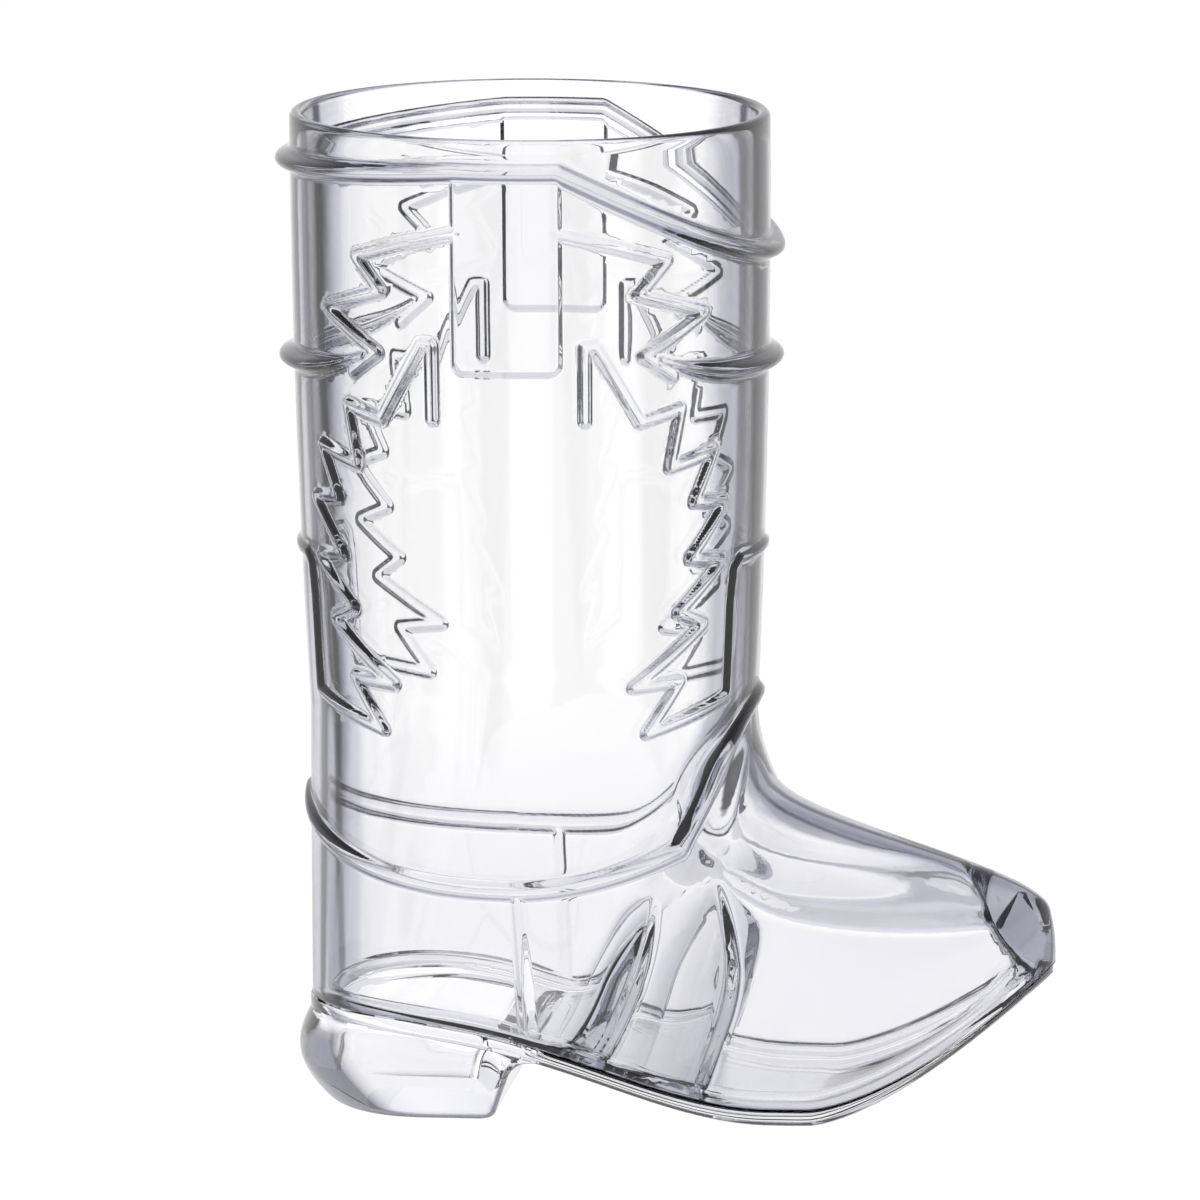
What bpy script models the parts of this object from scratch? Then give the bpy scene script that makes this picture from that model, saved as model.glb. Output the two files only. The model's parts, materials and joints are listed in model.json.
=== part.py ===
"""A clear plastic drinking cup in the shape of a western boot.

Two mouldings make the cup. The upper is the shaft, the vamp over the toes and the raised piping, open at
the rim and open underneath. The outsole is the sole plate, the hollow heel and a tongue that locates it
inside the upper, and it closes the cup underneath.

Metres, +Z up, toe towards +X. The pieces are modelled about the ankle's middle and hang on an empty,
which puts the origin under the middle of the cup, on the table that it stands on.
"""

import math

import bmesh
import bpy
from mathutils import Vector

MM = 0.001

# Shaft
CUP_HEIGHT = 155 * MM
RIM_RADIUS = 37.2 * MM
RIM_ROUND = 0.7 * MM
ANKLE_HEIGHT = 62 * MM
ANKLE_RADIUS = 34.7 * MM
SHAFT_LEAN = 0.7 * MM
WALL = 2.2 * MM

# Foot in plan, from the ankle's middle
TOE_REACH = 80.2 * MM
BALL_REACH = 42 * MM
BALL_HALF_WIDTH = 24 * MM
SEAT_REACH = -8 * MM
SEAT_HALF_WIDTH = 27 * MM
SEAT_BACK = 34.4 * MM
TOE_ROUNDNESS = 1.8
SEAT_ROUNDNESS = 2.3

# Foot from the side
SEAT_HEIGHT = 17.2 * MM
TOE_LIFT = 19.2 * MM
BALL_FLAT = 6 * MM
SHANK_STEEPNESS = 1.42
TOE_SPRING = 1.5
TOE_CAP_HEIGHT = 30.8 * MM
THROAT_HEIGHT = 51 * MM
THROAT_EASE = 0.22
QUARTER_SWEEP = 1.6
VAMP_PINCH = 0.16

# Outsole
SOLE_THICKNESS = 3.0 * MM
SOLE_TOE_THICKNESS = 1.5 * MM
SOLE_EDGE_RISE = 1.2 * MM
SOLE_EDGE_WIDTH = 6.5 * MM
WELT_OVERHANG = 1.0 * MM
SEAM_GAP = 0.3 * MM
TONGUE_HEIGHT = 1.8 * MM
TONGUE_THICKNESS = 1.4 * MM
TONGUE_CLEARANCE = 0.5 * MM

# Heel
HEEL_BASE_BACK = 30 * MM
HEEL_BASE_HALF_WIDTH = 20.5 * MM
HEEL_BULGE = 3.2 * MM
HEEL_ARC_SHARE = 0.62
BREAST_REACH = -4.4 * MM
BREAST_SLOPE = 4.4 * MM
BREAST_CORNER = 4 * MM
BREAST_CURVE = 3.8 * MM
BREAST_CURVE_START = 0.58
BREAST_CURVE_END = 0.9
HEEL_FLOOR_HEIGHT = 7.5 * MM

# Piping: drops are measured down from the rim, heights up from the table
COLLAR_BEAD_RADIUS = 1.8 * MM
COLLAR_BEAD_PROUD = 2.3 * MM
COLLAR_DROP_SIDE = 4.8 * MM
COLLAR_DROP_BACK = 7.4 * MM
COLLAR_DROP_FRONT = 21 * MM
COLLAR_LEVEL_ANGLE = math.radians(12)
FLAME_BEAD_DROP = 38 * MM
FLAME_BEAD_RISE = 3.5 * MM
FLAME_BEAD_HOOK = 4
FLAME_BEAD_SPAN = math.radians(52)
ANKLE_BEAD_RADIUS = 1.3 * MM
ANKLE_BEAD_BACK = 48.6 * MM
ANKLE_BEAD_SIDE = 38 * MM
ANKLE_BEAD_CUSP = 43.5 * MM
ANKLE_BEAD_THROAT = 64.5 * MM
CUSP_ANGLE = math.radians(50)
WELT_BEAD_RADIUS = 1.3 * MM
WELT_BEAD_RAISE = 0.9 * MM

# Stitch ribs and pull straps
STITCH_RADIUS = 1.0 * MM
STITCH_PROUD = 0.9 * MM
STITCH_STEP = math.radians(11)
STRAP_SPAN = math.radians(13.2)
STRAP_DROP = 36.4 * MM
STRAP_CORNER = 1.9 * MM
STRAP_PROUD = 0.9 * MM
STRAP_ROOT = 0.8 * MM

# One quarter of the stitching, as degrees from the middle of the cup's side and a share of the height:
# from the thick bead up to the collar's top line, and from the ankle up to the thick bead
COLLAR_FLAMES = (
    (12, 0.71), (26, 0.645), (40.2, 0.565), (32.4, 0.415), (51.8, 0.305), (33.7, 0.125), (42, 0.02),
)
SIDE_FLAMES = (
    (18.7, 0.9), (18.7, 1.11), (21.2, 1.11), (32.8, 0.89), (44.4, 0.92), (41.2, 0.755), (55.8, 0.79),
    (49, 0.65), (60.5, 0.635), (47.9, 0.49), (59.6, 0.47), (44.3, 0.34), (53.1, 0.3), (31.5, 0.14),
    (45.5, 0.145), (35.6, 0.005), (64, 0.08), (64.5, 0.35), (65.6, 0.435), (68.5, 0.46), (90, 0.47),
)

# How finely the round shapes are divided
AROUND = 48
FOOT_ROWS = 15
SHAFT_ROWS = 6
ARC_POINTS = 15
CORNER_POINTS = 5
STRAP_STEPS = 6
SIDE_SEAM_POINTS = 6
HEEL_LEVELS = (0, 0.05, 0.15, 0.3, 0.5, 0.65, 0.8, 0.9, 1)
NORMAL_STEP = 0.01

# How far cutters reach past what they cut, and how far the upper's skin runs below the seam that trims it
CUTTER_MARGIN = 10 * MM
TRIM_SHARE = 0.12

# Angles round the shaft, from the toe, where the arcs of the foot's outline join
TOE_ARC_END = math.radians(50)
SEAT_ARC_START = math.radians(100)
QUARTER = math.pi / 2

# The seam over the ball of the foot is as high as the sole is thick
BALL_HEIGHT = SOLE_THICKNESS + SEAM_GAP


def mix(first, second, share):
    return first + (second - first) * share


def smooth(low, high, value):
    share = min(max((value - low) / (high - low), 0), 1)
    return share * share * (3 - 2 * share)


def power(base, exponent):
    return max(base, 0) ** exponent


def clear_plastic():
    material = bpy.data.materials.new("clear_plastic")
    material.use_nodes = True
    shader = material.node_tree.nodes["Principled BSDF"]
    shader.inputs["Base Color"].default_value = (0.93, 0.95, 0.98, 1)
    shader.inputs["Roughness"].default_value = 0.05
    shader.inputs["Metallic"].default_value = 0
    shader.inputs["IOR"].default_value = 1.57
    shader.inputs["Transmission Weight"].default_value = 1
    return material


def plan_point(angle):
    """Where the upper's outside meets the sole, for an angle from 0 at the toe to pi at the back."""
    if angle < TOE_ARC_END:
        turn = QUARTER * angle / TOE_ARC_END
        bend = 2 / TOE_ROUNDNESS
        x = BALL_REACH + (TOE_REACH - BALL_REACH) * power(math.cos(turn), bend)
        return x, BALL_HALF_WIDTH * power(math.sin(turn), bend)
    if angle < SEAT_ARC_START:
        share = (angle - TOE_ARC_END) / (SEAT_ARC_START - TOE_ARC_END)
        return mix(BALL_REACH, SEAT_REACH, share), mix(BALL_HALF_WIDTH, SEAT_HALF_WIDTH, smooth(0, 1, share))
    turn = QUARTER * (angle - SEAT_ARC_START) / (math.pi - SEAT_ARC_START)
    bend = 2 / SEAT_ROUNDNESS
    x = SEAT_REACH - (SEAT_BACK + SEAT_REACH) * power(math.sin(turn), bend)
    return x, SEAT_HALF_WIDTH * power(math.cos(turn), bend)


def outline(angle, offset=0.0):
    """The same outline all the way round, moved outwards by an offset."""
    angle = (angle + math.pi) % (2 * math.pi) - math.pi
    side = -1 if angle < 0 else 1
    x, y = plan_point(abs(angle))
    before_x, before_y = plan_point(max(abs(angle) - NORMAL_STEP, 0))
    after_x, after_y = plan_point(min(abs(angle) + NORMAL_STEP, math.pi))
    along = Vector((after_x - before_x, after_y - before_y))
    if abs(angle) < NORMAL_STEP or abs(angle) > math.pi - NORMAL_STEP:
        along = Vector((0, 1 if abs(angle) < NORMAL_STEP else -1))
    along.normalize()
    return x + offset * along.y, side * (y - offset * along.x)


def seam_height(x):
    """Height of the joint between upper and outsole: high at the heel, low at the ball, up at the toe."""
    if x < BALL_REACH:
        share = (x + SEAT_BACK) / (BALL_REACH - BALL_FLAT / 2 + SEAT_BACK)
        wave = math.cos(math.pi * min(max(share, 0), 1) ** SHANK_STEEPNESS)
        return mix(BALL_HEIGHT, SEAT_HEIGHT, (1 + wave) / 2)
    share = (x - BALL_REACH - BALL_FLAT / 2) / (TOE_REACH - BALL_REACH - BALL_FLAT / 2)
    return BALL_HEIGHT + TOE_LIFT * power(share, TOE_SPRING)


def shaft_skin(angle, height, offset):
    """A point of the shaft, which flares towards the rim and leans back a little."""
    share = (height - ANKLE_HEIGHT) / (CUP_HEIGHT - ANKLE_HEIGHT)
    radius = mix(ANKLE_RADIUS, RIM_RADIUS, 1 - (1 - share) ** 2) + offset
    return Vector((radius * math.cos(angle) - SHAFT_LEAN * share, radius * math.sin(angle), height))


def foot_skin(angle, climb):
    """A point of the upper's outside, where climb runs from 0 at the seam to 1 at the ankle."""
    foot_x, foot_y = outline(angle)
    bottom = seam_height(foot_x)
    toe_seam = seam_height(TOE_REACH)
    toe_cap = (TOE_CAP_HEIGHT - toe_seam) / (ANKLE_HEIGHT - toe_seam)
    throat = (THROAT_HEIGHT - toe_seam) / (ANKLE_HEIGHT - toe_seam)
    forward = power(math.cos(angle), 2)
    swept = 1 - (1 - climb) ** QUARTER_SWEEP
    ridge = mix(smooth(toe_cap, throat, climb), smooth(toe_cap, 1, climb), THROAT_EASE)
    slide = mix(swept, ridge, forward)
    pinch = power(math.cos(angle), 1) * abs(math.sin(angle)) * 2 * math.sin(math.pi * climb) ** 2
    x = mix(foot_x, ANKLE_RADIUS * math.cos(angle), slide)
    y = mix(foot_y, ANKLE_RADIUS * math.sin(angle), slide) * (1 - VAMP_PINCH * pinch)
    return Vector((x, y, mix(bottom, ANKLE_HEIGHT, climb)))


def skin(angle, height, offset=0.0):
    """A point of the upper's outside at a height, moved outwards by an offset."""
    if height >= ANKLE_HEIGHT:
        return shaft_skin(angle, height, offset)
    bottom = seam_height(outline(angle)[0])
    outwards = Vector((math.cos(angle), math.sin(angle), 0)) * offset
    return foot_skin(angle, (height - bottom) / (ANKLE_HEIGHT - bottom)) + outwards


def turns(count):
    return [2 * math.pi * step / count for step in range(count)]


def link(name, mesh, collection, holder):
    obj = bpy.data.objects.new(name, mesh)
    collection.objects.link(obj)
    obj.parent = holder
    return obj


def loft(name, rings, capped, collection, holder):
    """A skin through rings that have the same number of points, closed at both ends if capped."""
    mesh = bpy.data.meshes.new(name)
    bm = bmesh.new()
    loops = [[bm.verts.new(point) for point in ring] for ring in rings]
    for lower, upper in zip(loops, loops[1:]):
        for index, point in enumerate(lower):
            after = (index + 1) % len(lower)
            bm.faces.new((point, lower[after], upper[after], upper[index]))
    if capped:
        bm.faces.new(loops[0])
        bm.faces.new(loops[-1])
        bmesh.ops.recalc_face_normals(bm, faces=bm.faces)
    bm.to_mesh(mesh)
    bm.free()
    return link(name, mesh, collection, holder)


def bead(name, points, radius, closed, collection, holder):
    """A round bead along points on the skin, as a mesh that a Boolean can join."""
    curve = bpy.data.curves.new(name + "_path", "CURVE")
    curve.dimensions = "3D"
    curve.bevel_depth = radius
    curve.bevel_resolution = 1
    curve.use_fill_caps = True
    spline = curve.splines.new("POLY")
    spline.points.add(len(points) - 1)
    spline.use_cyclic_u = closed
    for place, point in zip(spline.points, points):
        place.co = (*point, 1)
    path = link(name + "_path", curve, collection, holder)
    bpy.context.view_layer.update()
    graph = bpy.context.evaluated_depsgraph_get()
    mesh = bpy.data.meshes.new_from_object(path.evaluated_get(graph))
    bm = bmesh.new()
    bm.from_mesh(mesh)
    bmesh.ops.remove_doubles(bm, verts=bm.verts, dist=1e-6)
    bmesh.ops.recalc_face_normals(bm, faces=bm.faces)
    bm.to_mesh(mesh)
    bm.free()
    bpy.data.objects.remove(path)
    return link(name, mesh, collection, holder)


def combine(obj, operation, tool):
    modifier = obj.modifiers.new(f"{operation.lower()}_{tool.name}", "BOOLEAN")
    modifier.operation = operation
    modifier.object = tool
    tool.hide_render = True
    tool.display_type = "WIRE"


def finish(obj, material):
    obj.data.materials.append(material)
    obj.data.shade_smooth()


def seam_cutter(cutters, holder):
    """A block whose top is the seam, as wide and long as the foot and more, to trim the upper."""
    reach = RIM_RADIUS + CUTTER_MARGIN
    rings = []
    for step in range(AROUND + 1):
        x = mix(-SEAT_BACK - CUTTER_MARGIN, TOE_REACH + CUTTER_MARGIN, step / AROUND)
        top = seam_height(x)
        rings.append([(x, -reach, -reach), (x, reach, -reach), (x, reach, top), (x, -reach, top)])
    return loft("seam_cutter", rings, True, cutters, holder)


def collar_points():
    """The scalloped top line of the collar: level over the sides, a little lower behind, and low in front."""
    points = []
    for angle in turns(AROUND):
        dip = COLLAR_DROP_FRONT if math.cos(angle) > 0 else COLLAR_DROP_BACK
        past_level = math.asin(abs(math.cos(angle))) - COLLAR_LEVEL_ANGLE
        share = math.sin(QUARTER * max(past_level / (QUARTER - COLLAR_LEVEL_ANGLE), 0))
        height = CUP_HEIGHT - mix(COLLAR_DROP_SIDE, dip, share)
        points.append(skin(angle, height, COLLAR_BEAD_PROUD - COLLAR_BEAD_RADIUS))
    return points


def flame_points(middle):
    """The thick lower bead of the collar, an arc round the front or the back whose ends turn up."""
    points = []
    for step in range(ARC_POINTS):
        share = 2 * step / (ARC_POINTS - 1) - 1
        height = CUP_HEIGHT - FLAME_BEAD_DROP + FLAME_BEAD_RISE * abs(share) ** FLAME_BEAD_HOOK
        points.append(skin(middle + share * FLAME_BEAD_SPAN, height, COLLAR_BEAD_PROUD - COLLAR_BEAD_RADIUS))
    return points


def ankle_points():
    """The piping at the ankle: up behind, low at the sides, a cusp, and then steeply up to the throat."""
    points = []
    for angle in turns(AROUND):
        turn = min(angle, 2 * math.pi - angle)
        if turn < CUSP_ANGLE:
            rise = math.cos(QUARTER * turn / CUSP_ANGLE)
            height = mix(ANKLE_BEAD_CUSP, ANKLE_BEAD_THROAT, rise)
        elif turn < QUARTER:
            share = (turn - CUSP_ANGLE) / (QUARTER - CUSP_ANGLE)
            height = mix(ANKLE_BEAD_CUSP, ANKLE_BEAD_SIDE, smooth(-1, 1, share) * 2 - 1)
        else:
            height = mix(ANKLE_BEAD_SIDE, ANKLE_BEAD_BACK, 1 - math.sin(turn))
        points.append(skin(angle, height))
    return points


def welt_points():
    """The welt bead, which runs round the foot on the seam and is cut flat there."""
    points = []
    for angle in turns(AROUND):
        x, y = outline(angle)
        points.append(Vector((x, y, seam_height(x) + WELT_BEAD_RAISE)))
    return points


def along_skin(route, offset):
    """Points of the skin along (angle, height) corners, close enough together to stay on the round shaft."""
    points = [skin(*route[0], offset)]
    for (angle, height), (next_angle, next_height) in zip(route, route[1:]):
        count = math.ceil(abs(next_angle - angle) / STITCH_STEP) or 1
        for step in range(1, count + 1):
            share = step / count
            points.append(skin(mix(angle, next_angle, share), mix(height, next_height, share), offset))
    return points


def flame_route(drawing, low, high, side, end):
    """A drawing of one quarter as (angle, height), for a side of the cup (1 or -1) and an end (toe 1, back -1)."""
    return [(side * (QUARTER - end * math.radians(turn)), mix(low, high, share)) for turn, share in drawing]


def stitch_routes():
    """The zigzags: one under each quarter of the collar, and one that runs round each end of the cup."""
    bead_line = CUP_HEIGHT - FLAME_BEAD_DROP
    top_line = CUP_HEIGHT - COLLAR_DROP_SIDE
    routes = {}
    for end, end_name in ((1, "front"), (-1, "back")):
        for side, side_name in ((1, "far"), (-1, "near")):
            route = flame_route(COLLAR_FLAMES, bead_line, top_line, side, end)
            routes[f"{end_name}_{side_name}_collar_flames"] = route
        there = flame_route(SIDE_FLAMES, ANKLE_HEIGHT, bead_line, 1, end)
        back_again = flame_route(SIDE_FLAMES, ANKLE_HEIGHT, bead_line, -1, end)
        if end == -1:
            back_again = [(angle + 2 * math.pi, height) for angle, height in back_again]
        routes[f"{end_name}_side_flames"] = there + back_again[-2::-1]
    return routes


def side_seam_points(side):
    """The seam up the middle of the foot's side, from the welt to the ankle's piping."""
    bottom = seam_height(outline(QUARTER)[0]) + WELT_BEAD_RAISE
    heights = [mix(bottom, ANKLE_BEAD_SIDE, step / (SIDE_SEAM_POINTS - 1)) for step in range(SIDE_SEAM_POINTS)]
    return [skin(side * QUARTER, height, STITCH_PROUD - STITCH_RADIUS) for height in heights]


def pull_strap(name, side, cutters, holder):
    """A raised panel that hangs from the collar's bead, with its lower corners cut off."""
    top = CUP_HEIGHT - COLLAR_DROP_SIDE
    bottom = CUP_HEIGHT - STRAP_DROP
    corner_turn = STRAP_CORNER / RIM_RADIUS
    turns_across = [-STRAP_SPAN]
    for step in range(STRAP_STEPS + 1):
        turns_across.append(mix(corner_turn - STRAP_SPAN, STRAP_SPAN - corner_turn, step / STRAP_STEPS))
    turns_across.append(STRAP_SPAN)
    rings = []
    for turn in turns_across:
        lowest = bottom + (STRAP_CORNER if abs(turn) == STRAP_SPAN else 0)
        edges = ((lowest, -STRAP_ROOT), (top, -STRAP_ROOT), (top, STRAP_PROUD), (lowest, STRAP_PROUD))
        rings.append([skin(side * QUARTER + turn, height, offset) for height, offset in edges])
    return loft(name, rings, True, cutters, holder)


def boot_upper(parts, cutters, holder, material):
    rings = []
    for row in range(FOOT_ROWS):
        climb = mix(-TRIM_SHARE, 1, row / FOOT_ROWS)
        rings.append([foot_skin(angle, climb) for angle in turns(AROUND)])
    for row in range(SHAFT_ROWS + 1):
        height = mix(ANKLE_HEIGHT, CUP_HEIGHT, row / SHAFT_ROWS)
        rings.append([skin(angle, height) for angle in turns(AROUND)])
    upper = loft("boot_upper", rings, False, parts, holder)
    wall = upper.modifiers.new("wall", "SOLIDIFY")
    wall.thickness = WALL
    wall.offset = -1
    wall.use_even_offset = True
    rim = upper.modifiers.new("rim", "BEVEL")
    rim.width = RIM_ROUND
    rim.segments = 2
    rim.limit_method = "ANGLE"
    rim.angle_limit = math.radians(60)
    combine(upper, "UNION", bead("welt_bead", welt_points(), WELT_BEAD_RADIUS, True, cutters, holder))
    combine(upper, "DIFFERENCE", seam_cutter(cutters, holder))
    combine(upper, "UNION", bead("collar_bead", collar_points(), COLLAR_BEAD_RADIUS, True, cutters, holder))
    for name, middle in (("front_flame_bead", 0), ("back_flame_bead", math.pi)):
        arc = bead(name, flame_points(middle), COLLAR_BEAD_RADIUS, False, cutters, holder)
        combine(upper, "UNION", arc)
    combine(upper, "UNION", bead("ankle_bead", ankle_points(), ANKLE_BEAD_RADIUS, True, cutters, holder))
    for name, route in stitch_routes().items():
        points = along_skin(route, STITCH_PROUD - STITCH_RADIUS)
        combine(upper, "UNION", bead(name, points, STITCH_RADIUS, False, cutters, holder))
    for side, side_name in ((1, "far"), (-1, "near")):
        seam = bead(f"{side_name}_side_seam", side_seam_points(side), STITCH_RADIUS, False, cutters, holder)
        combine(upper, "UNION", seam)
        combine(upper, "UNION", pull_strap(f"{side_name}_pull_strap", side, cutters, holder))
    finish(upper, material)
    return upper


def sole_plate(parts, holder):
    """Cross sections from the toe to the back of the heel seat, bevelled along the lower edge."""
    rings = []
    for step in range(1, AROUND):
        x, y = outline(math.pi * step / AROUND, WELT_OVERHANG)
        top = seam_height(x) - SEAM_GAP
        toeward = smooth(BALL_REACH, TOE_REACH, x)
        bottom = top - mix(SOLE_THICKNESS, SOLE_TOE_THICKNESS, toeward)
        shoulder = bottom + SOLE_EDGE_RISE
        inner = max(y - SOLE_EDGE_WIDTH, y / 2)
        rings.append([
            (x, y, top), (x, y, shoulder), (x, inner, bottom),
            (x, -inner, bottom), (x, -y, shoulder), (x, -y, top),
        ])
    return loft("outsole", rings, True, parts, holder)


def heel_plan(share, inset):
    """The heel's D-shaped plan, where share runs from 0 at the table to 1 inside the sole plate."""
    bulge = HEEL_BULGE * math.sin(math.pi * share)
    back = -mix(HEEL_BASE_BACK, SEAT_BACK, math.sqrt(share)) - bulge + inset
    half_width = mix(HEEL_BASE_HALF_WIDTH, SEAT_HALF_WIDTH, share) - inset
    climb = min(max((share - BREAST_CURVE_START) / (BREAST_CURVE_END - BREAST_CURVE_START), 0), 1)
    curve = BREAST_CURVE * (1 - math.sqrt(1 - climb * climb))
    front = BREAST_REACH + BREAST_SLOPE * share + curve - inset
    middle = mix(back, front, HEEL_ARC_SHARE)
    bend = 2 / SEAT_ROUNDNESS
    plan = []
    for step in range(ARC_POINTS):
        turn = QUARTER * (2 * step / (ARC_POINTS - 1) - 1)
        x = middle + (back - middle) * power(math.cos(turn), bend)
        plan.append((x, math.copysign(half_width * power(abs(math.sin(turn)), bend), turn)))
    for side in (1, -1):
        for step in range(CORNER_POINTS):
            corner_share = step / (CORNER_POINTS - 1)
            turn = QUARTER * (corner_share if side == 1 else 1 - corner_share)
            x = front - BREAST_CORNER * (1 - math.sin(turn))
            plan.append((x, side * (half_width - BREAST_CORNER * (1 - math.cos(turn)))))
    return plan


def heel_block(cutters, holder):
    """The outside of the heel, from the table into the middle of the sole plate."""
    rings = []
    for share in HEEL_LEVELS:
        plan = heel_plan(share, 0)
        rings.append([(x, y, share * (seam_height(x) - SEAM_GAP - SOLE_THICKNESS / 2)) for x, y in plan])
    return loft("heel_block", rings, True, cutters, holder)


def heel_recess(cutters, holder):
    """The space inside the heel, from its floor to above the tongue."""
    inset = WALL + TONGUE_CLEARANCE + TONGUE_THICKNESS
    above_tongue = SEAT_HEIGHT + 2 * TONGUE_HEIGHT
    rings = []
    for level in HEEL_LEVELS:
        height = mix(HEEL_FLOOR_HEIGHT, above_tongue, level)
        rings.append([(x, y, height) for x, y in heel_plan(min(height / SEAT_HEIGHT, 1), inset)])
    return loft("heel_recess", rings, True, cutters, holder)


def tongue(cutters, holder):
    """The wall on top of the sole plate that locates it inside the upper."""
    rings = []
    for rise in (-SOLE_THICKNESS / 2, TONGUE_HEIGHT):
        places = [outline(angle, -WALL - TONGUE_CLEARANCE) for angle in turns(AROUND)]
        rings.append([(x, y, seam_height(x) + rise) for x, y in places])
    wall = loft("tongue", rings, False, cutters, holder)
    thick = wall.modifiers.new("wall", "SOLIDIFY")
    thick.thickness = TONGUE_THICKNESS
    thick.offset = -1
    return wall


def outsole(parts, cutters, holder, material):
    sole = sole_plate(parts, holder)
    combine(sole, "UNION", heel_block(cutters, holder))
    combine(sole, "UNION", tongue(cutters, holder))
    combine(sole, "DIFFERENCE", heel_recess(cutters, holder))
    finish(sole, material)
    return sole


def middle_of(pieces):
    """The middle of the pieces' reach along X, while the ankle's middle is still at the origin."""
    bpy.context.view_layer.update()
    graph = bpy.context.evaluated_depsgraph_get()
    corners = [corner[0] for piece in pieces for corner in piece.evaluated_get(graph).bound_box]
    return (min(corners) + max(corners)) / 2


def main():
    for obj in list(bpy.data.objects):
        bpy.data.objects.remove(obj)
    parts = bpy.data.collections.new("boot_cup")
    cutters = bpy.data.collections.new("boot_cup_cutters")
    for collection in (parts, cutters):
        bpy.context.scene.collection.children.link(collection)
    holder = bpy.data.objects.new("ankle_middle", None)
    parts.objects.link(holder)
    plastic = clear_plastic()
    pieces = [boot_upper(parts, cutters, holder, plastic), outsole(parts, cutters, holder, plastic)]
    holder.location.x = -middle_of(pieces)


main()
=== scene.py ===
# %% [markdown]
# # A clear plastic cup in the shape of a western boot
# The real cup is two mouldings of clear, colourless plastic. The upper is the shaft, the vamp over the toes
# and every raised line of stitching. The outsole is the sole and the heel, and it closes the cup
# underneath. The imported CAD model gives the place and the size of both, so it is loaded first.

# %% Load the imported model
import json
import math

import bmesh
import bpy
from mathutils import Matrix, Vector
from mathutils.kdtree import KDTree


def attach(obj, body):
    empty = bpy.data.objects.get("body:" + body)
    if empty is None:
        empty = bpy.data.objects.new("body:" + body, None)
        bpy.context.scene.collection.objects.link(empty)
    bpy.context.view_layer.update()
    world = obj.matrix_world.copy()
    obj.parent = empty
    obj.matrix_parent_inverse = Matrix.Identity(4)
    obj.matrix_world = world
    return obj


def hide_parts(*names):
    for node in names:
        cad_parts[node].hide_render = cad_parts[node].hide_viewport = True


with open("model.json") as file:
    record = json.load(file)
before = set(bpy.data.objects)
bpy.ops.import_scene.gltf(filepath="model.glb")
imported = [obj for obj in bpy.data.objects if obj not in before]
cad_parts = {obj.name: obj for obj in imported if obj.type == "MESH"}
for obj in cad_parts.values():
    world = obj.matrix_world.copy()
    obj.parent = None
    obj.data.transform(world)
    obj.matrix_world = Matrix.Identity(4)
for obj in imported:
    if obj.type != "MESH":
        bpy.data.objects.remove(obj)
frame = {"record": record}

MM = 0.001
QUARTER = math.pi / 2
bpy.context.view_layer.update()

# %% [markdown]
# Every curve of the boot is measured from the middle of the ankle, as on a lathe. The record states the room
# inside the shaft as a box, and the middle of that box is the ankle's middle. Each piece is modelled about
# that line and moved there as its last step.

# %% Find the ankle's middle
openings = {opening["name"]: opening["box_m"] for opening in frame["record"]["physics"]["openings"]}
shaft_low, shaft_high = openings["shaft_inside"]
ANKLE_PLACE = Vector(((shaft_low[0] + shaft_high[0]) / 2, 0, 0))
print("ankle's middle at X =", round(ANKLE_PLACE.x / MM, 2), "mm")

# %% [markdown]
# Seen from above, the foot is a pointed toe, a straight waist and a round heel seat. A shoemaker draws that
# outline first, and so does this lesson. The toe and the seat are quarters of a superellipse, which is an
# ellipse with one more number for how square or how pointed it is.

# %% The foot's outline in plan
TOE_REACH = 80.2 * MM
BALL_REACH = 42 * MM
BALL_HALF_WIDTH = 24 * MM
SEAT_REACH = -8 * MM
SEAT_HALF_WIDTH = 27 * MM
SEAT_BACK = 34.4 * MM
TOE_ROUNDNESS = 1.8
SEAT_ROUNDNESS = 2.3
TOE_ARC_END = math.radians(50)
SEAT_ARC_START = math.radians(100)
NORMAL_STEP = 0.01


def mix(first, second, share):
    return first + (second - first) * share


def smooth(low, high, value):
    share = min(max((value - low) / (high - low), 0), 1)
    return share * share * (3 - 2 * share)


def power(base, exponent):
    return max(base, 0) ** exponent


def plan_point(angle):
    """Where the upper meets the sole, for an angle from 0 at the toe to pi at the back."""
    if angle < TOE_ARC_END:
        turn = QUARTER * angle / TOE_ARC_END
        bend = 2 / TOE_ROUNDNESS
        x = BALL_REACH + (TOE_REACH - BALL_REACH) * power(math.cos(turn), bend)
        return x, BALL_HALF_WIDTH * power(math.sin(turn), bend)
    if angle < SEAT_ARC_START:
        share = (angle - TOE_ARC_END) / (SEAT_ARC_START - TOE_ARC_END)
        return mix(BALL_REACH, SEAT_REACH, share), mix(BALL_HALF_WIDTH, SEAT_HALF_WIDTH, smooth(0, 1, share))
    turn = QUARTER * (angle - SEAT_ARC_START) / (math.pi - SEAT_ARC_START)
    bend = 2 / SEAT_ROUNDNESS
    x = SEAT_REACH - (SEAT_BACK + SEAT_REACH) * power(math.sin(turn), bend)
    return x, SEAT_HALF_WIDTH * power(math.cos(turn), bend)


def outline(angle, offset=0.0):
    """The same outline, moved outwards by an offset."""
    x, y = plan_point(angle)
    before_x, before_y = plan_point(max(angle - NORMAL_STEP, 0))
    after_x, after_y = plan_point(min(angle + NORMAL_STEP, math.pi))
    along = Vector((after_x - before_x, after_y - before_y))
    if angle < NORMAL_STEP or angle > math.pi - NORMAL_STEP:
        along = Vector((0, 1 if angle < NORMAL_STEP else -1))
    along.normalize()
    return x + offset * along.y, y - offset * along.x


for degrees in (0, 90, 180):
    x, y = outline(math.radians(degrees))
    print("foot in plan at", degrees, "degrees, mm:", round(x / MM, 1), round(y / MM, 1))

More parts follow.
